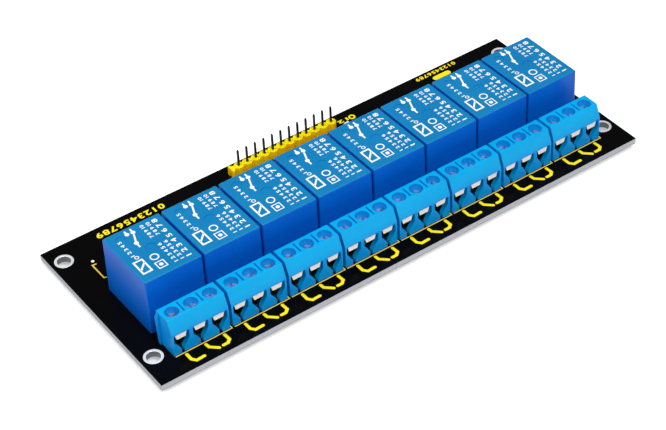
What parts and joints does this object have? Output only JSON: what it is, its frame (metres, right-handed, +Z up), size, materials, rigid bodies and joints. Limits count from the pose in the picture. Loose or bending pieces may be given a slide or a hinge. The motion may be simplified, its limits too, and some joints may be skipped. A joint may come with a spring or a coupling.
{
  "type": "relay module board",
  "caption": "Long circuit board with a row of sealed relays, screw terminals along the front edge and a pin header along the back.",
  "frame": {"origin": "under the middle of the board, on the plane of the trimmed lead tips that the part rests on", "axes": "+X along the board with the terminals in front, +Y from the terminal edge to the header edge, +Z up through the relays"},
  "size_m": [0.1394, 0.0546, 0.0187],
  "materials": {
    "board": "glossy black solder mask",
    "tin": "tinned metal",
    "relay_blue": "satin moulded blue plastic",
    "dark_plastic": "matt black plastic",
    "terminal_blue": "satin light blue plastic",
    "screw_steel": "zinc plated steel",
    "brass": "bright brass",
    "plated_leaf": "nickel plated strip",
    "yellow_plastic": "moulded yellow plastic",
    "black_metal": "dark plated pins",
    "white_plastic": "moulded white plastic",
    "diode_glass": "orange glass",
    "red_lens": "clear red resin",
    "solder": "bright solder"
  },
  "bodies": {
    "root": {"board": "board", "hole_rings": "tin", "relay_case_1": "relay_blue", "relay_case_2": "relay_blue", "relay_case_3": "relay_blue", "relay_case_4": "relay_blue", "relay_case_5": "relay_blue", "relay_case_6": "relay_blue", "relay_case_7": "relay_blue", "relay_case_8": "relay_blue", "relay_base_1": "dark_plastic", "relay_base_2": "dark_plastic", "relay_base_3": "dark_plastic", "relay_base_4": "dark_plastic", "relay_base_5": "dark_plastic", "relay_base_6": "dark_plastic", "relay_base_7": "dark_plastic", "relay_base_8": "dark_plastic", "relay_leads": "tin", "terminal_housing_1": "terminal_blue", "terminal_housing_2": "terminal_blue", "terminal_housing_3": "terminal_blue", "terminal_housing_4": "terminal_blue", "terminal_housing_5": "terminal_blue", "terminal_housing_6": "terminal_blue", "terminal_housing_7": "terminal_blue", "terminal_housing_8": "terminal_blue", "terminal_screws_1": "screw_steel", "terminal_screws_2": "screw_steel", "terminal_screws_3": "screw_steel", "terminal_screws_4": "screw_steel", "terminal_screws_5": "screw_steel", "terminal_screws_6": "screw_steel", "terminal_screws_7": "screw_steel", "terminal_screws_8": "screw_steel", "terminal_contacts_1": "brass", "terminal_contacts_2": "brass", "terminal_contacts_3": "brass", "terminal_contacts_4": "brass", "terminal_contacts_5": "brass", "terminal_contacts_6": "brass", "terminal_contacts_7": "brass", "terminal_contacts_8": "brass", "wire_guards_1": "plated_leaf", "wire_guards_2": "plated_leaf", "wire_guards_3": "plated_leaf", "wire_guards_4": "plated_leaf", "wire_guards_5": "plated_leaf", "wire_guards_6": "plated_leaf", "wire_guards_7": "plated_leaf", "wire_guards_8": "plated_leaf", "header_strip": "yellow_plastic", "header_pins": "black_metal", "optocouplers": "white_plastic", "optocoupler_leads": "tin", "transistors": "dark_plastic", "clamp_diodes": "diode_glass", "indicator_lamps": "red_lens", "chip_resistors": "dark_plastic", "solder_joints": "solder"}
  },
  "joints": []
}
